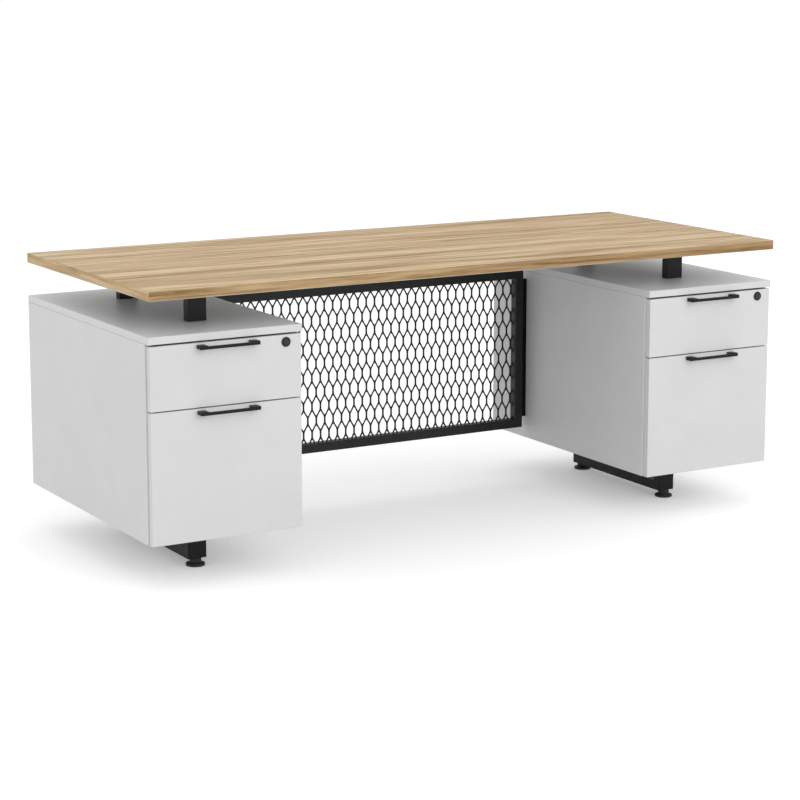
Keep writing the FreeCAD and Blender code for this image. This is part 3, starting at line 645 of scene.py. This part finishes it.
def makeNet():
    low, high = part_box("privacy_panel_mesh")
    startX, columns = gridAlong(net["eyeX"], net["pitchX"], low.x, high.x, *net["spareX"])
    startZ, rows = gridAlong(net["eyeZ"], net["pitchZ"], low.z, high.z, *net["spareZ"])
    start = (startX, (low.y + high.y) / 2, startZ)
    half = (net["pitchX"] / 2, net["pitchZ"] / 2)
    cell = joined([
        eyeOutline(start, half[0], net["joint"], half[1] - net["joint"], 0),
        eyeOutline(start, net["halfWidth"], net["halfStraight"], net["tip"], net["rounding"]),
    ])
    pick(cell, "edges", lambda edge: True)
    bpy.ops.mesh.bridge_edge_loops()
    bpy.ops.object.mode_set(mode="OBJECT")
    pair = joined([cell, copyOf(cell, (half[0], 0, half[1]))])
    steps = {"use_relative_offset": False, "use_constant_offset": True}
    modify(pair, "ARRAY", count=columns, constant_offset_displace=(net["pitchX"], 0, 0), **steps)
    modify(pair, "ARRAY", count=rows, constant_offset_displace=(0, 0, net["pitchZ"]), **steps)
    pick(pair, "verts", lambda vert: True)
    bpy.ops.mesh.remove_doubles(threshold=net["merge"])
    for point, away in (((low.x, 0, 0), (-1, 0, 0)), ((high.x, 0, 0), (1, 0, 0)),
                        ((0, 0, low.z), (0, 0, -1)), ((0, 0, high.z), (0, 0, 1))):
        bpy.ops.mesh.select_all(action="SELECT")
        bpy.ops.mesh.bisect(plane_co=point, plane_no=away, clear_outer=True, clear_inner=False)
    bpy.ops.mesh.select_all(action="SELECT")
    bpy.ops.mesh.normals_make_consistent(inside=False)
    bpy.ops.object.mode_set(mode="OBJECT")
    modify(pair, "SOLIDIFY", thickness=net["thickness"], offset=0.0)
    done(pair, "panelNet", frameBlack, "root", ["privacy_panel_mesh"])


makeNet()
print("stage: privacy panel net")


# Handles: a slim bar with two flat legs, all edges eased
handle = {
    "leg": 0.020,
    "bar": 0.008,
    "step": 0.002,
    "edge": 0.0007,
    "nose": 0.0016,
    "noseSegments": 4,
    "edgeSegments": 3,
    "edgeAngle": 30,
    "touch": 0.001,
}


def makeHandle(side, drawer):
    name = f"{side}_{drawer}_drawer_handle"
    low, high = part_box(name)
    middle = (low.x + high.x) / 2
    inside = (high.x - low.x) / 2 - handle["leg"]
    touch = handle["touch"]

    def outer(face):
        return abs(face.calc_center_median().x - middle) > inside

    def frontCorner(edge):  # upright, at the front and at either end
        first, last = (vert.co for vert in edge.verts)
        if abs(first.z - last.z) < touch or max(first.y, last.y) > low.y + touch:
            return False
        return abs(first.x - middle) > inside + touch

    piece = newCube(low, (high.x, low.y + handle["bar"], high.z - handle["step"]))
    for x in (low.x + handle["leg"], high.x - handle["leg"]):
        pick(piece, "faces", lambda face: True)
        bpy.ops.mesh.bisect(plane_co=(x, 0, 0), plane_no=(1, 0, 0))
    pick(piece, "faces", lambda face: face.normal.y > facingAlong and outer(face))
    bpy.ops.mesh.extrude_region_move(TRANSFORM_OT_translate={"value": (0, high.y - low.y - handle["bar"], 0)})
    pick(piece, "faces", lambda face: face.normal.z > facingAlong and outer(face))
    bpy.ops.mesh.extrude_region_move(TRANSFORM_OT_translate={"value": (0, 0, handle["step"])})
    pick(piece, "edges", frontCorner)
    bpy.ops.mesh.bevel(offset=handle["nose"], segments=handle["noseSegments"], affect="EDGES")
    bpy.ops.object.mode_set(mode="OBJECT")
    softened(piece, handle["edge"], handle["edgeSegments"], handle["edgeAngle"])
    body = f"{side}_{drawer}_drawer"
    done(piece, f"{side}{drawer.title()}Handle", handleBlack, body, [name])


for side in sides:
    for drawer in drawers:
        makeHandle(side, drawer)
print("stage: handles")


# Locks: a stepped rim with a dished face, and a plug with its key slot
lock = {
    "sides": 64,
    "rim": 0.012,
    "rimDepth": 0.0025,
    "barrel": 0.0095,
    "edge": 0.0005,
    "mouth": ((0.0008, 0), (0.0006, 0.0005), (0, 0.0011)),  # way in, and width over the bore
    "brow": ((0, 0.0012), (0.0003, 0.0005), (0.0011, 0)),  # way in, and width under the rim
    "plug": 0.007,
    "play": 0.00008,
    "dish": ((0.0004, 0.0014), (0, 0.00098), (0, 0.0005), (0.0005, 0)),  # way in, and width under the plug
    "tail": 0.004,
    "tailLength": 0.004,
    "slot": (0.0018, 0.009),
    "slotDepth": 0.003,
    "slotOver": 0.001,
    "smooth": 25,
}


def makeLock(side):
    name = side + "_lock_housing"
    low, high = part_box(name)
    centre = Vector(((low.x + high.x) / 2, low.y, (low.z + high.z) / 2))
    length = high.y - low.y
    rim, barrel, edge, bore = lock["rim"], lock["barrel"], lock["edge"], lock["plug"] + lock["play"]
    mouth = [(way, bore + over) for way, over in lock["mouth"]]
    brow = [(way, rim - under) for way, under in lock["brow"]]
    neck = [(lock["rimDepth"], rim), (lock["rimDepth"], barrel)]
    rear = [(length - edge, barrel), (length, barrel - edge), (length, bore)]
    housing = turned(centre, "y", mouth + brow + neck + rear + mouth[:1], lock["sides"], ring=True)
    done(housing, side + "LockHousing", lockBlack, side + "_box_drawer", [name], lock["smooth"])

    name = side + "_lock_plug"
    low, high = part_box(name)
    length = high.y - low.y
    front = length - lock["tailLength"]
    dish = [(way, lock["plug"] - under) for way, under in lock["dish"]]
    stem = [(front, lock["plug"]), (front, lock["tail"]), (length, lock["tail"])]
    plug = turned((centre.x, low.y, centre.z), "y", dish + stem, lock["sides"])
    width, tall = lock["slot"]
    tool = newCube((centre.x - width / 2, low.y - lock["slotOver"], centre.z - tall / 2),
                   (centre.x + width / 2, low.y + lock["slotDepth"], centre.z + tall / 2))
    cutOut(plug, tool)
    done(plug, side + "LockPlug", lockFace, side + "_lock", [name], lock["smooth"])


for side in sides:
    makeLock(side)
print("stage: locks")


# Levelling feet: rounded disc, cone, hub, and the stem up into the post. Each step of the outline has a level
# and a radius by name, and the share of the rounding that is added to each.
foot = {
    "sides": 64,
    "disc": 0.024,
    "rim": 0.0065,
    "cone": 0.0095,
    "hub": 0.015,
    "hubGap": 0.0003,
    "stem": 0.005,
    "tip": 0.001,
    "smooth": 30,
    "round": 0.0022,
    "outline": (
        ("sole", 0, "disc", -0.7), ("sole", 0.18, "disc", -0.25), ("sole", 0.6, "disc", 0),
        ("rim", -0.6, "disc", 0), ("rim", 0, "disc", -0.3), ("rim", 0.25, "disc", -1),
        ("cone", -0.3, "hub", 1), ("cone", 0, "hub", 0.3), ("cone", 0.5, "hub", 0),
        ("post", -0.3, "hub", 0), ("post", 0, "hub", -0.3), ("post", 0, "stem", 0),
    ),
}


def makeFoot(side, end):
    node = f"{side}_{end}_foot"
    low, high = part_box(node)
    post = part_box(side + "_base_frame")[0].z - foot["hubGap"]
    levels = {"sole": 0, "rim": foot["rim"], "cone": foot["cone"], "post": post}
    soft, stem, tip = foot["round"], foot["stem"], foot["tip"]
    steps = []
    for level, up, radius, out in foot["outline"]:
        steps.append((levels[level] + soft * up, foot[radius] + soft * out))
    steps += [(high.z - tip, stem), (high.z, stem - tip)]
    body = turned(((low.x + high.x) / 2, (low.y + high.y) / 2, 0), "z", steps, foot["sides"])
    done(body, f"{side}{end.title()}Foot", footPlastic, node, [node], foot["smooth"])


for side in sides:
    for end in ("front", "rear"):
        makeFoot(side, end)
print("stage: feet")


# Screws and bolts: a domed head with a six-sided recess, or a flanged head with six flats, and a plain shank
screws = {
    "bolt": {
        "head": 0.008, "height": 0.0045, "shank": 0.004, "length": 0.032, "flange": 0.0014, "flats": 0.0066,
    },
    "desktop": {"head": 0.0055, "height": 0.0035, "shank": 0.0025, "length": 0.039, "recess": 0.0024},
    "bracket": {"head": 0.0045, "height": 0.0028, "shank": 0.0025, "length": 0.012, "recess": 0.0019},
    "handle": {"head": 0.004, "height": 0.0024, "shank": 0.002, "length": 0.027, "recess": 0.0017},
    "front": {"head": 0.0038, "height": 0.0020, "shank": 0.0018, "length": 0.011, "recess": 0.0015},
    "slide": {"head": 0.0032, "height": 0.0012, "shank": 0.0016, "length": 0.0018, "recess": 0.0013},
}
screwForm = {  # pairs are shares of the height and of the head's radius
    "sides": 24,
    "corners": 6,
    "dome": ((1.0, 0.62), (0.86, 0.82), (0.55, 0.96), (0.3, 1.0)),
    "recess": (1.2, 0.3),  # from over the head down into it
    "flange": ((1.0, 0.94), (0.6, 1.0)),
    "crown": 0.86,  # of the flats, at the top
    "crownEdge": 0.0005,
    "crownFoot": 0.5,
    "point": 0.5,
    "smooth": 25,
}


def makeScrew(kind, seat, axis, sign):  # the shank runs from the seat along the axis, forwards or backwards
    size = screws[kind]
    head, height, shank, length = (size[part] for part in ("head", "height", "shank", "length"))
    point = shank * screwForm["point"]

    def lathe(steps, count):
        return turned(seat, axis, [(way * sign, radius) for way, radius in steps], count)

    stem = [(0, head), (0, shank), (length - point, shank), (length, point)]
    if "recess" in size:
        dome = [(-height * up, head * out) for up, out in screwForm["dome"]]
        recess = [(-height * up, size["recess"]) for up in screwForm["recess"]]
        return cutOut(lathe(dome + stem, screwForm["sides"]), lathe(recess, screwForm["corners"]))
    flange, flats = size["flange"], size["flats"]
    rim = [(-flange * up, head * out) for up, out in screwForm["flange"]]
    piece = lathe(rim + stem, screwForm["sides"])
    crown = [(-height, flats * screwForm["crown"]), (-height + screwForm["crownEdge"], flats)]
    crown.append((-flange * screwForm["crownFoot"], flats))
    return joined([piece, lathe(crown, screwForm["corners"])])


def screwSet(kind, places, axis, sign):  # one screw, copied to the other places
    first = makeScrew(kind, places[0], axis, sign)
    return joined([first] + [copyOf(first, Vector(place) - Vector(places[0])) for place in places[1:]])


def finishScrews(sets, name, body, replaced=()):
    done(joined(sets), name, zincPlate, body, replaced, screwForm["smooth"])


def ends(low, high, inset):
    return (low + inset, high - inset)


def threes(low, high, inset):  # both ends and the middle
    return (low + inset, (low + high) / 2, high - inset)


# Sizes of the steel that the screws and the welds are placed by
steel = {"tube": 0.025, "sheet": 0.002}


def makeFrameScrews():
    low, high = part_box("desktop_screws")
    head = screws["desktop"]["head"]
    seat = low.z + screws["desktop"]["height"]
    places = [(x, y, seat) for x in ends(low.x, high.x, head) for y in threes(low.y, high.y, head)]
    finishScrews([screwSet("desktop", places, "z", 1)], "desktopScrews", "root", ["desktop_screws"])

    low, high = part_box("pedestal_bolts")
    head = screws["bolt"]["head"]
    sets = []
    for frameName, board, sign in (("riser", "top", 1), ("base", "bottom", -1)):
        frameLow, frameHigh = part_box(f"right_{frameName}_frame")
        boardLow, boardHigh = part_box("right_pedestal_" + board)
        seat = boardLow.z if sign > 0 else boardHigh.z
        rows = ends(frameLow.y, frameHigh.y, steel["tube"] / 2)
        places = [(x, y, seat) for x in ends(low.x, high.x, head) for y in rows]
        sets.append(screwSet("bolt", places, "z", sign))
    finishScrews(sets, "pedestalBolts", "root", ["pedestal_bolts"])

    low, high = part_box("bracket_screws")
    head = screws["bracket"]["head"]
    bracketLow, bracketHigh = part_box("right_panel_bracket")
    inner, outer = ends(bracketLow.x, bracketHigh.x, steel["sheet"])
    sets = []
    for way in (-1, 1):
        for seat, sign in ((inner, -way), (outer, way)):
            places = [(seat * way, (low.y + high.y) / 2, z) for z in threes(low.z, high.z, head)]
            sets.append(screwSet("bracket", places, "x", sign))
    finishScrews(sets, "bracketScrews", "root", ["bracket_screws"])


# Welds in the inner corners of the frames: rippled beads from side to side
weld = {"sides": 12, "bead": 0.0021, "valley": 0.0017, "tip": 0.00085, "step": 0.0015, "end": 0.003}


def makeWelds(kind):
    low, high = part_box(f"left_{kind}_frame")
    count = int((high.x - low.x - weld["end"] * 2) / weld["step"] / 2) * 2
    steps = [(0, weld["tip"])]
    for i in range(count + 1):
        steps.append((weld["step"] * (i + 0.5), weld["bead"] if i % 2 else weld["valley"]))
    length = weld["step"] * (count + 1)
    steps.append((length, weld["tip"]))
    tube = steel["tube"]
    level = high.z - tube if kind == "riser" else low.z + tube
    front = turned(((low.x + high.x - length) / 2, low.y + tube, level), "x", steps, weld["sides"])
    pair = joined([front, copyOf(front, (0, high.y - low.y - tube * 2, 0))])
    twin = copyOf(pair, (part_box(f"right_{kind}_frame")[0].x - low.x, 0, 0))
    material = frameBlack if kind == "riser" else baseShadedBlack
    done(joined([pair, twin]), kind + "Welds", material, "root")


makeFrameScrews()
makeWelds("riser")
makeWelds("base")
print("stage: screws and welds")


# Fittings of each drawer: screws of the handle, the front and the slides, the slides' release levers, and in
# the file drawers a pair of rails that hang over the front and rear walls
fitting = {
    "sheet": 0.0012,
    "flange": 0.006,
    "frontSpread": 0.13,
    "frontInset": 0.020,
    "slideInset": 0.040,
    "lever": (0.0030, 0.042, 0.011),
    "leverPlace": 0.150,
    "leverEdge": 0.0008,
    "rail": (0.0024, 0.014),
    "railSpread": 0.1525,
    "railEdge": 0.0003,
    "strap": 0.0012,
    "hook": 0.00108,
}


def makeLever(seat, sign, start, level):
    thick, long, tall = fitting["lever"]
    near, far = sorted((seat, seat - thick * sign))
    return newCube((near, start, level - tall / 2), (far, start + long, level + tall / 2))


def makeRails(body, name):
    boxLow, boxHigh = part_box(body + "_box")
    middle = (boxLow.x + boxHigh.x) / 2
    near, far = ends(boxLow.y, boxHigh.y, fitting["sheet"])
    wide, tall = fitting["rail"]
    level = boxHigh.z + fitting["strap"]
    rails = []
    for way in (-1, 1):
        x = middle + way * fitting["railSpread"]
        rail = newCube((x - wide / 2, near, level - tall), (x + wide / 2, far, level))
        pick(rail, "faces", lambda face: True)
        bpy.ops.mesh.bisect(plane_co=(0, 0, boxHigh.z), plane_no=(0, 0, 1))
        for end in (-1, 1):
            pick(rail, "faces", lambda face: face.normal.y * end > facingAlong
                 and face.calc_center_median().z > boxHigh.z)
            bpy.ops.mesh.extrude_region_move(TRANSFORM_OT_translate={"value": (0, end * fitting["hook"], 0)})
        bpy.ops.object.mode_set(mode="OBJECT")
        rails.append(softened(rail, fitting["railEdge"]))
    done(joined(rails), name + "Rails", zincPlate, body)


def makeFittings(side, drawer):
    name = f"{side}{drawer.title()}"
    body = f"{side}_{drawer}_drawer"
    node = body + "_handle_screws"
    low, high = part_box(node)
    seat = high.y - screws["handle"]["height"]
    level = (low.z + high.z) / 2
    places = [(x, seat, level) for x in ends(low.x, high.x, screws["handle"]["head"])]
    finishScrews([screwSet("handle", places, "y", -1)], name + "HandleScrews", body, [node])

    low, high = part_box(body + "_box")
    columns = ((low.x + high.x) / 2 + way * fitting["frontSpread"] for way in (-1, 1))
    seat = low.y + fitting["sheet"]
    places = [(x, seat, z) for x in columns for z in ends(low.z, high.z, fitting["frontInset"])]
    sets = [screwSet("front", places, "y", -1)]
    seats = ends(low.x, high.x, fitting["flange"] - fitting["sheet"])
    low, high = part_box(body + "_slides")
    level = (low.z + high.z) / 2
    levers = []
    for seat, sign in zip(seats, (1, -1)):
        places = [(seat, y, level) for y in threes(low.y, high.y, fitting["slideInset"])]
        sets.append(screwSet("slide", places, "x", sign))
        levers.append(makeLever(seat, sign, low.y + fitting["leverPlace"], level))
    finishScrews(sets, name + "FixingScrews", body)
    lever = softened(joined(levers), fitting["leverEdge"])
    done(lever, name + "SlideLevers", footPlastic, body)
    if drawer == "file":
        makeRails(body, name)


for side in sides:
    for drawer in drawers:
        makeFittings(side, drawer)
print("stage: drawer fittings")


# Studio: pale floor, even light all round, a soft key from the front
studio = {
    "floorRadius": 40.0,
    "floorSides": 96,
    "floorColour": (0.76, 0.76, 0.76),
    "floorSeen": (1.0, 1.0, 1.0),
    "floorLift": (0.22, 0.22, 0.22),
    "floorRoughness": 0.9,
    "world": 0.90,
    "keyPower": 72.0,
    "keySize": 4.0,
    "keyPlace": (0.6, -6.0, 3.0),
    "keyAim": (0.0, 0.0, 0.4),
}


def makeFloor():
    fresh()
    count, radius = studio["floorSides"], studio["floorRadius"]
    bpy.ops.mesh.primitive_circle_add(vertices=count, radius=radius, fill_type="NGON", location=(0, 0, 0))
    floor = bpy.context.object
    floor.name = "studioFloor"
    shader = Shader("floorPaper")
    path = shader.add("LightPath", output=None)
    kinds = ("Camera", "Glossy", "Transmission")
    camera, glossy, glass = (Wire(shader, path.outputs[f"Is {kind} Ray"]) for kind in kinds)
    seen = (camera + glossy + glass).clamped()
    floor.data.materials.append(shader.finish(
        Base_Color=shader.blend(seen, studio["floorColour"], studio["floorSeen"]),
        Roughness=studio["floorRoughness"],
        Specular_IOR_Level=0.0,
        Emission_Color=shader.blend(seen, (0.0, 0.0, 0.0), studio["floorLift"]),
        Emission_Strength=1.0,
    ))


def makeWorld():  # lights with its strength, and looks plain white
    world = bpy.data.worlds.new("studioWorld")
    bpy.context.scene.world = world
    world.use_nodes = True
    tree = world.node_tree
    light = tree.nodes["Background"]
    white = tree.nodes.new("ShaderNodeBackground")
    for background, strength in ((light, studio["world"]), (white, 1.0)):
        background.inputs["Color"].default_value = (1, 1, 1, 1)
        background.inputs["Strength"].default_value = strength
    path = tree.nodes.new("ShaderNodeLightPath")
    mix = tree.nodes.new("ShaderNodeMixShader")
    seen = path.outputs["Is Camera Ray"]
    for kind in ("Glossy", "Transmission"):
        either = tree.nodes.new("ShaderNodeMath")
        either.operation = "MAXIMUM"
        tree.links.new(seen, either.inputs[0])
        tree.links.new(path.outputs[f"Is {kind} Ray"], either.inputs[1])
        seen = either.outputs[0]
    tree.links.new(seen, mix.inputs[0])
    tree.links.new(light.outputs[0], mix.inputs[1])
    tree.links.new(white.outputs[0], mix.inputs[2])
    tree.links.new(mix.outputs[0], tree.nodes["World Output"].inputs[0])


def makeKey():
    place = Vector(studio["keyPlace"])
    bpy.ops.object.light_add(type="AREA", location=place)
    key = bpy.context.object
    key.name = "keyLight"
    key.data.energy = studio["keyPower"]
    key.data.size = studio["keySize"]
    key.rotation_euler = (Vector(studio["keyAim"]) - place).to_track_quat("-Z", "Y").to_euler()


# Camera as fitted to the photograph's edges, with the focal length in the photograph's pixels
view = {
    "place": (-3.0460, -5.1720, 1.5183),
    "yaw": 30.041,
    "pitch": 9.771,
    "focal": 2302.7,
    "picture": 800.0,
    "sensor": 36.0,
    "shiftX": 0.0107,
    "shiftY": -0.08,
    "far": 200.0,
}


def makeCamera():
    bpy.ops.object.camera_add(location=view["place"])
    camera = bpy.context.object
    camera.name = "deskCamera"
    camera.rotation_euler = (math.radians(90 - view["pitch"]), 0, math.radians(-view["yaw"]))
    camera.data.sensor_width = view["sensor"]
    camera.data.lens = view["focal"] / view["picture"] * view["sensor"]
    camera.data.shift_x = view["shiftX"]
    camera.data.shift_y = view["shiftY"]
    camera.data.clip_end = view["far"]
    bpy.context.scene.camera = camera


makeFloor()
makeWorld()
makeKey()
makeCamera()
bpy.context.scene.view_settings.view_transform = "Standard"
print("stage: studio and camera")
